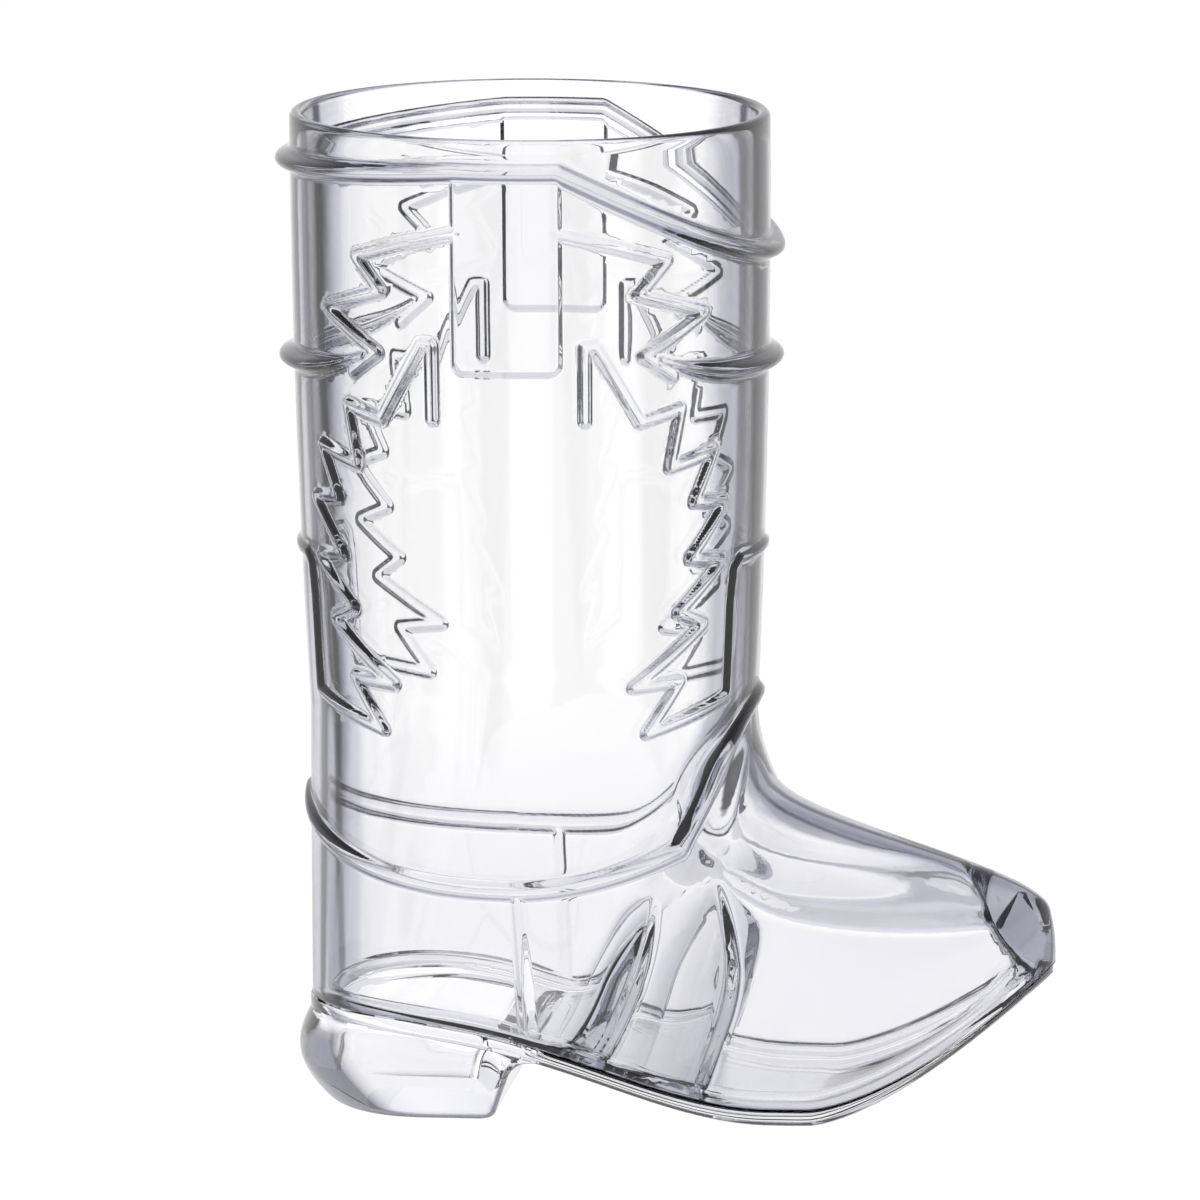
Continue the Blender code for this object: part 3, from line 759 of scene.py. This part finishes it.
CORNER_START = SIDE_START + SIDE_COLUMNS
BREAST_START = CORNER_START + CORNER_COLUMNS


def heel_plan(column, share, inset):
    """The heel's plan from the middle of the back round to the middle of the breast."""
    swell = HEEL_BULGE * math.sin(math.pi * share)
    back = -mix(HEEL_BASE_BACK, SEAT_BACK, math.sqrt(share)) - swell + inset
    half_width = mix(HEEL_BASE_HALF_WIDTH, SEAT_HALF_WIDTH, share) - inset
    climb = min(max((share - BREAST_CURVE_START) / (BREAST_CURVE_END - BREAST_CURVE_START), 0), 1)
    curve = BREAST_CURVE * (1 - math.sqrt(1 - climb * climb))
    front = BREAST_REACH + BREAST_SLOPE * share + curve - inset
    middle = mix(back, front, HEEL_ARC_SHARE)
    if column <= SIDE_START:
        turn = QUARTER * column / BACK_COLUMNS
        bend = 2 / SEAT_ROUNDNESS
        x = middle + (back - middle) * power(math.cos(turn), bend)
        return x, half_width * power(math.sin(turn), bend)
    if column <= CORNER_START:
        return mix(middle, front - BREAST_CORNER, (column - SIDE_START) / SIDE_COLUMNS), half_width
    if column <= BREAST_START:
        turn = QUARTER * (column - CORNER_START) / CORNER_COLUMNS
        x = front - BREAST_CORNER * (1 - math.sin(turn))
        return x, half_width - BREAST_CORNER * (1 - math.cos(turn))
    return front, mix(half_width - BREAST_CORNER, 0, (column - BREAST_START) / (HEEL_COLUMNS - BREAST_START))


def heel_block_point(column, row):
    share = (row / HEEL_ROWS) ** 2
    x, y = heel_plan(column, share, 0)
    height = share * (seam_height(x) - SEAM_GAP - SOLE_THICKNESS / 2)
    rounding = max(HEEL_EDGE_ROUND - height, 0)
    draw_in = HEEL_EDGE_ROUND - math.sqrt(HEEL_EDGE_ROUND ** 2 - rounding ** 2)
    x, y = heel_plan(column, share, draw_in)
    return Vector((x, max(y, 0), height))


def heel_recess_point(column, row):
    height = mix(HEEL_FLOOR_HEIGHT, SEAT_HEIGHT + 2 * TONGUE_HEIGHT, row / HEEL_ROWS)
    inset = WALL + TONGUE_CLEARANCE + TONGUE_THICKNESS
    x, y = heel_plan(column, min(height / SEAT_HEIGHT, 1), inset)
    return Vector((x, max(y, 0), height))


def heel_form(rule):
    """A closed form whose sides follow a rule, with flat ends."""
    bm = half_grid(HEEL_COLUMNS, HEEL_ROWS, HEEL_COLUMNS)
    lay_and_mirror(bm, rule)
    bmesh.ops.holes_fill(bm, edges=[edge for edge in bm.edges if edge.is_boundary], sides=0)
    bmesh.ops.recalc_face_normals(bm, faces=bm.faces)
    return bm


heel_block = heel_form(heel_block_point)
heel_recess = heel_form(heel_recess_point)
print("faces of the heel block:", len(heel_block.faces))

# %% [markdown]
# A low tongue stands on the plate, just inside the wall of the upper, and locates the sole before it is
# welded. Its section is a small rectangle that runs round the foot.

# %% The tongue
TONGUE_COLUMNS = 96
TONGUE_CORNERS = ((0, -SOLE_THICKNESS / 2), (0, TONGUE_HEIGHT), (1, TONGUE_HEIGHT), (1, -SOLE_THICKNESS / 2))


def tongue_point(angle, row):
    inwards, rise = TONGUE_CORNERS[round(row) % len(TONGUE_CORNERS)]
    x, y = outline(angle, -WALL - TONGUE_CLEARANCE - inwards * TONGUE_THICKNESS)
    return Vector((x, max(y, 0), seam_height(x) + rise))


tongue = half_grid(TONGUE_COLUMNS, len(TONGUE_CORNERS), math.pi)
lay_and_mirror(tongue, tongue_point)
bmesh.ops.recalc_face_normals(tongue, faces=tongue.faces)
print("faces of the tongue:", len(tongue.faces))

# %% [markdown]
# Solid forms are joined and cut with the Boolean modifier. The forms become objects for a moment, the
# modifiers are applied, and only the result is kept. Faces that meet at a sharp angle keep a crisp edge. The
# heel is nearly solid, and the vertices of its outside are marked for painted shade: where the eye grazes
# them, the plastic's colour is painted darker, standing in for the shade that a thick heel shows.

# %% Join and cut the outsole
SHARP_ANGLE = math.radians(35)
HEEL_MIDDLE = Vector((-16 * MM, 0, HEEL_FLOOR_HEIGHT))


def as_object(bm, name):
    mesh = bpy.data.meshes.new(name)
    bm.to_mesh(mesh)
    bm.free()
    obj = bpy.data.objects.new(name, mesh)
    bpy.context.scene.collection.objects.link(obj)
    return obj


def joined_and_cut(base, steps):
    """A bmesh of the base after each form in steps is joined to it or cut from it."""
    helpers = [as_object(base, "base")]
    for operation, form in steps:
        helpers.append(as_object(form, "form"))
        modifier = helpers[0].modifiers.new(operation, "BOOLEAN")
        modifier.operation = operation
        modifier.object = helpers[-1]
    bpy.context.view_layer.update()
    evaluated = helpers[0].evaluated_get(bpy.context.evaluated_depsgraph_get())
    result = bmesh.new()
    result.from_mesh(evaluated.to_mesh())
    evaluated.to_mesh_clear()
    for helper in helpers:
        mesh = helper.data
        bpy.data.objects.remove(helper)
        bpy.data.meshes.remove(mesh)
    return result


sole = joined_and_cut(plate, [
    ("UNION", heel_block), ("UNION", tongue), ("DIFFERENCE", heel_recess),
])
bmesh.ops.remove_doubles(sole, verts=sole.verts, dist=WELD)
bmesh.ops.dissolve_degenerate(sole, edges=sole.edges, dist=WELD)
bmesh.ops.triangulate(sole, faces=[face for face in sole.faces if len(face.verts) > 4])
for edge in sole.edges:
    edge.smooth = edge.calc_face_angle(math.pi) < SHARP_ANGLE
sole.normal_update()
# Painted shade mask: rises to 1 on the heel's outside below the plate, where the plastic's colour is painted
# darker.
heel_shade_mask = sole.verts.layers.float.new("heel_shade_mask")
for vert in sole.verts:
    under_plate = seam_height(vert.co.x) - SEAM_GAP - SOLE_THICKNESS - vert.co.z
    if vert.normal.dot(vert.co - HEEL_MIDDLE) > 0:
        vert[heel_shade_mask] = smooth(0, HEEL_EDGE_ROUND, under_plate)
outsole = finish_piece(sole, "outsole_skin", "outsole")

# %% [markdown]
# The plastic is clear and colourless, like polystyrene, so its look is all light that bends. The shader
# passes light, with the plastic's index of refraction. Clear plastic still shows its edges, because light
# runs a long way through a wall that the eye grazes. So the wall takes up light all the way through, a
# little more red than blue. On top of that, shade is painted into the plastic's colour by the angle to the
# surface: the colour turns grey towards the edges, and on the upper it paints a thin dark line where the eye
# just touches the inside of the wall, standing in for the dark edges that bent light draws. A moulding isn't
# a perfect lens either. Slow waves in the
# surface come from shrinking in the mould, and faint haze from handling, so two noises on the piece's own
# coordinates drive a small bump and the roughness.

# %% The clear plastic
PLASTIC_IOR = 1.57
GLOSS = 0.1
ABSORBED_COLOUR = (0.74, 0.74, 0.78, 1)
WAVE_SCALE = 55
WAVE_DEPTH = 0.03 * MM
HAZE_SCALE = 140
# Painted shade: colour stops by the angle to the eye. The plastic's colour stays white where a wall faces the
# eye, turns grey towards its edges and, on the upper, paints a near-black line, standing in for the dark
# edges that bent light draws.
SHELL_PAINTED_SHADE = (
    (0.32, (1, 1, 1, 1)), (0.41, (0.85, 0.85, 0.9, 1)), (0.47, (0.5, 0.5, 0.57, 1)),
    (0.6, (0.4, 0.4, 0.47, 1)), (0.635, (0.03, 0.03, 0.045, 1)), (0.69, (0.03, 0.03, 0.045, 1)),
    (0.74, (0.45, 0.45, 0.52, 1)), (1, (0.35, 0.35, 0.42, 1)),
)
SOLE_PAINTED_SHADE = ((0.3, (1, 1, 1, 1)), (0.45, (0.8, 0.8, 0.85, 1)), (1, (0.6, 0.6, 0.67, 1)))
# Painted shade for the heel's marked outside: near black wherever the eye grazes it.
HEEL_PAINTED_SHADE = ((0.26, (1, 1, 1, 1)), (0.38, (0.06, 0.06, 0.09, 1)), (1, (0.04, 0.04, 0.06, 1)))
SHELL_DENSITY = 240
SOLE_DENSITY = 6
HAZE_START = 0.45
HAZE_FULL = 0.8
CLEAREST = 0.0
HAZIEST = 0.025


def colour_ramp(nodes, stops):
    """A colour ramp with the given stops, each a (share, colour) pair."""
    ramp = nodes.new("ShaderNodeValToRGB")
    elements = ramp.color_ramp.elements
    elements[0].position, elements[0].color = stops[0]
    elements[1].position, elements[1].color = stops[-1]
    for position, colour in stops[1:-1]:
        elements.new(position).color = colour
    return ramp


def painted_shade_by_angle(nodes, links, shade_stops):
    """Painted shade in the colour, which follows the turn away from the eye."""
    facing = nodes.new("ShaderNodeLayerWeight")
    shade_ramp = colour_ramp(nodes, shade_stops)
    links.new(facing.outputs["Facing"], shade_ramp.inputs["Fac"])
    return shade_ramp.outputs["Color"]


def surface_noise(nodes, links, scale):
    """A noise on the piece's own coordinates."""
    place = nodes.new("ShaderNodeTexCoord")
    noise = nodes.new("ShaderNodeTexNoise")
    noise.inputs["Scale"].default_value = scale
    links.new(place.outputs["Object"], noise.inputs["Vector"])
    return noise.outputs["Fac"]


def clear_plastic(name, shade_stops, density):
    """Clear moulded plastic, with shade painted into its colour by the angle to the eye, and darker painted
    shade where the heel's outside is marked.
    """
    material = bpy.data.materials.new(name)
    material.use_nodes = True
    nodes = material.node_tree.nodes
    links = material.node_tree.links
    shader = nodes["Principled BSDF"]
    shader.inputs["IOR"].default_value = PLASTIC_IOR
    shader.inputs["Transmission Weight"].default_value = 1
    shader.inputs["Specular IOR Level"].default_value = GLOSS
    # The heel's painted-shade mask picks between the two painted shades, and the mix becomes the base colour.
    heel_shade_node = nodes.new("ShaderNodeAttribute")
    heel_shade_node.attribute_name = "heel_shade_mask"
    colour = nodes.new("ShaderNodeMixRGB")
    links.new(heel_shade_node.outputs["Fac"], colour.inputs["Fac"])
    links.new(painted_shade_by_angle(nodes, links, shade_stops), colour.inputs["Color1"])
    links.new(painted_shade_by_angle(nodes, links, HEEL_PAINTED_SHADE), colour.inputs["Color2"])
    links.new(colour.outputs["Color"], shader.inputs["Base Color"])
    roughness = nodes.new("ShaderNodeMapRange")
    roughness.inputs["From Min"].default_value = HAZE_START
    roughness.inputs["From Max"].default_value = HAZE_FULL
    roughness.inputs["To Min"].default_value = CLEAREST
    roughness.inputs["To Max"].default_value = HAZIEST
    links.new(surface_noise(nodes, links, HAZE_SCALE), roughness.inputs["Value"])
    links.new(roughness.outputs["Result"], shader.inputs["Roughness"])
    bump = nodes.new("ShaderNodeBump")
    bump.inputs["Distance"].default_value = WAVE_DEPTH
    links.new(surface_noise(nodes, links, WAVE_SCALE), bump.inputs["Height"])
    links.new(bump.outputs["Normal"], shader.inputs["Normal"])
    body = nodes.new("ShaderNodeVolumeAbsorption")
    body.inputs["Color"].default_value = ABSORBED_COLOUR
    body.inputs["Density"].default_value = density
    links.new(body.outputs["Volume"], nodes["Material Output"].inputs["Volume"])
    return material


shell_plastic = clear_plastic("shell_plastic", SHELL_PAINTED_SHADE, SHELL_DENSITY)
sole_plastic = clear_plastic("sole_plastic", SOLE_PAINTED_SHADE, SOLE_DENSITY)
boot_upper.data.materials.append(shell_plastic)
outsole.data.materials.append(sole_plastic)
print("finishes:", shell_plastic.name, sole_plastic.name)

# %% [markdown]
# Clear things are lit from behind, on a white table, with dark cards to both sides that the lens doesn't
# see. Light that comes straight through the cup is white, and light that a curved wall or a rib bends aside
# comes from a dark card, which draws the outline. The table is a white floor that glows a little.

# %% The white table
FLOOR_HALF = 10
FLOOR_WHITE = 1.03
FLOOR_DROP = 0.3 * MM


def staged(bm, name):
    """A mesh that belongs to the studio and not to the cup."""
    obj = as_object(bm, name)
    return obj


def glowing(name, colour=None):
    """A material that shines with one colour, or with the colours stored on the mesh."""
    material = bpy.data.materials.new(name)
    material.use_nodes = True
    nodes = material.node_tree.nodes
    shader = nodes["Principled BSDF"]
    shader.inputs["Base Color"].default_value = (0, 0, 0, 1)
    shader.inputs["Specular IOR Level"].default_value = 0
    shader.inputs["Emission Strength"].default_value = 1
    if colour:
        shader.inputs["Emission Color"].default_value = colour
    else:
        stored = nodes.new("ShaderNodeAttribute")
        stored.attribute_name = "tone"
        material.node_tree.links.new(stored.outputs["Color"], shader.inputs["Emission Color"])
    return material


table = bmesh.new()
bmesh.ops.create_grid(table, x_segments=1, y_segments=1, size=FLOOR_HALF)
bmesh.ops.translate(table, vec=(0, 0, -FLOOR_DROP), verts=table.verts)
floor = staged(table, "floor")
floor.data.materials.append(glowing("white_table", (FLOOR_WHITE, FLOOR_WHITE, FLOOR_WHITE, 1)))
print("floor half width:", FLOOR_HALF, "m")

# %% [markdown]
# The cards lie flat on the table: one disc, bright along a lane behind the cup for each direction that it is
# looked at from, and dark between the lanes, with soft edges. Only light that comes through the plastic sees
# that disc. Its lanes are brighter than the table by what two walls take up, so that the middle of the shaft
# comes out as white as the table, and the foot, which looks down on the near part, a little greyer.

# %% The dark cards on the table
CARD_DARK = (0.02, 0.02, 0.03)
CARD_START = (0.09, 0.14)
LANE_WHITE = (1.35, 1.35, 1.3)
NEAR_GREY = (1.2, 1.2, 1.2)
UNDER_WHITE = (1.1, 1.1, 1.1)
UNDER_END = (0.03, 0.06)
NEAR_END = (0.16, 0.38)
CARD_REACH = 4
CARD_RINGS = 60
CARD_SPOKES = 720
CARD_DROP = 0.1 * MM
CAMERA_AZIMUTH = 6
LANES = ((CAMERA_AZIMUTH, 64 * MM), (45, 58 * MM), (90, 44 * MM), (135, 58 * MM))
LANE_OPENING = math.tan(math.radians(6))
SOFT_EDGE = math.radians(4)


def card_tone(point):
    """0 in a lane, 1 well away from every lane."""
    darkest = 1
    for azimuth, half_width in LANES:
        turn = math.radians(azimuth)
        beside = abs(point.x * math.cos(turn) + point.y * math.sin(turn))
        behind = abs(point.y * math.cos(turn) - point.x * math.sin(turn))
        outside = beside - half_width - behind * LANE_OPENING
        darkest = min(darkest, smooth(0, SOFT_EDGE, outside / max(point.length, MM)))
    return darkest


cards = half_grid(CARD_SPOKES, CARD_RINGS, 2 * math.pi)
tone = cards.verts.layers.float_color.new("tone")
for vert in cards.verts:
    around = Vector((math.cos(vert.co.x), math.sin(vert.co.x), 0))
    vert.co = around * CARD_REACH * (vert.co.y / CARD_RINGS) ** 2
    past = smooth(*UNDER_END, vert.co.length)
    far = smooth(*NEAR_END, vert.co.length)
    tones = zip(UNDER_WHITE, NEAR_GREY, LANE_WHITE)
    lane = [mix(mix(under, grey, past), white, far) for under, grey, white in tones]
    share = card_tone(vert.co) * smooth(*CARD_START, vert.co.length)
    vert[tone] = (*(mix(light, dark, share) for light, dark in zip(lane, CARD_DARK)), 1)
bmesh.ops.translate(cards, vec=(0, 0, -CARD_DROP), verts=cards.verts)
print("faces of the dark cards:", len(cards.faces))
dark_cards = staged(cards, "dark_cards")
dark_cards.data.materials.append(glowing("dark_cards"))
dark_cards.visible_camera = False
dark_cards.visible_glossy = False
dark_cards.visible_diffuse = False
dark_cards.visible_shadow = False

# %% [markdown]
# Above the table is a plain studio: pale at the horizon, a cool grey room higher up, and one large soft light
# overhead. It is painted on the world by height, so that every side of the cup reflects the same room. The
# cup throws no shadow, because a glowing table under a clear cup shows none.

# %% The studio round the table
ROOM = (
    (0, (1, 1, 1, 1)), (0.35, (0.95, 0.95, 1, 1)), (0.6, (0.5, 0.5, 0.58, 1)),
    (0.8, (0.5, 0.5, 0.55, 1)), (1, (2.5, 2.5, 2.5, 1)),
)
world = bpy.data.worlds.new("studio")
bpy.context.scene.world = world
world.use_nodes = True
nodes = world.node_tree.nodes
links = world.node_tree.links
direction = nodes.new("ShaderNodeTexCoord")
parts = nodes.new("ShaderNodeSeparateXYZ")
by_height = colour_ramp(nodes, ROOM)
links.new(direction.outputs["Generated"], parts.inputs["Vector"])
links.new(parts.outputs["Z"], by_height.inputs["Fac"])
links.new(by_height.outputs["Color"], nodes["Background"].inputs["Color"])
bpy.context.scene.view_settings.view_transform = "Standard"
for piece in (boot_upper, outsole):
    piece.visible_shadow = False
    piece.visible_diffuse = False
print("stops in the room's colours:", len(ROOM))

# %% [markdown]
# The photograph was taken from far away with a long lens, a little to the toe's side of square on and a
# little from above, so the rim is a thin ellipse. The camera stands there and looks at a point in the shaft.

# %% The camera
CAMERA_DISTANCE = 3.0
CAMERA_HEIGHT = 0.5552
SENSOR_WIDTH = 36
LENS = 588.06
LOOKED_AT = Vector((10.2 * MM, 0, 78.42 * MM))
camera_data = bpy.data.cameras.new("camera")
camera_data.sensor_width = SENSOR_WIDTH
camera_data.lens = LENS
camera = bpy.data.objects.new("camera", camera_data)
bpy.context.scene.collection.objects.link(camera)
turn = math.radians(CAMERA_AZIMUTH)
stand = Vector((CAMERA_DISTANCE * math.sin(turn), -CAMERA_DISTANCE * math.cos(turn), CAMERA_HEIGHT))
camera.location = ANKLE_PLACE + stand
camera.rotation_euler = (LOOKED_AT - stand).to_track_quat("-Z", "Y").to_euler()
bpy.context.scene.camera = camera
print("camera at", [round(value, 3) for value in camera.location])
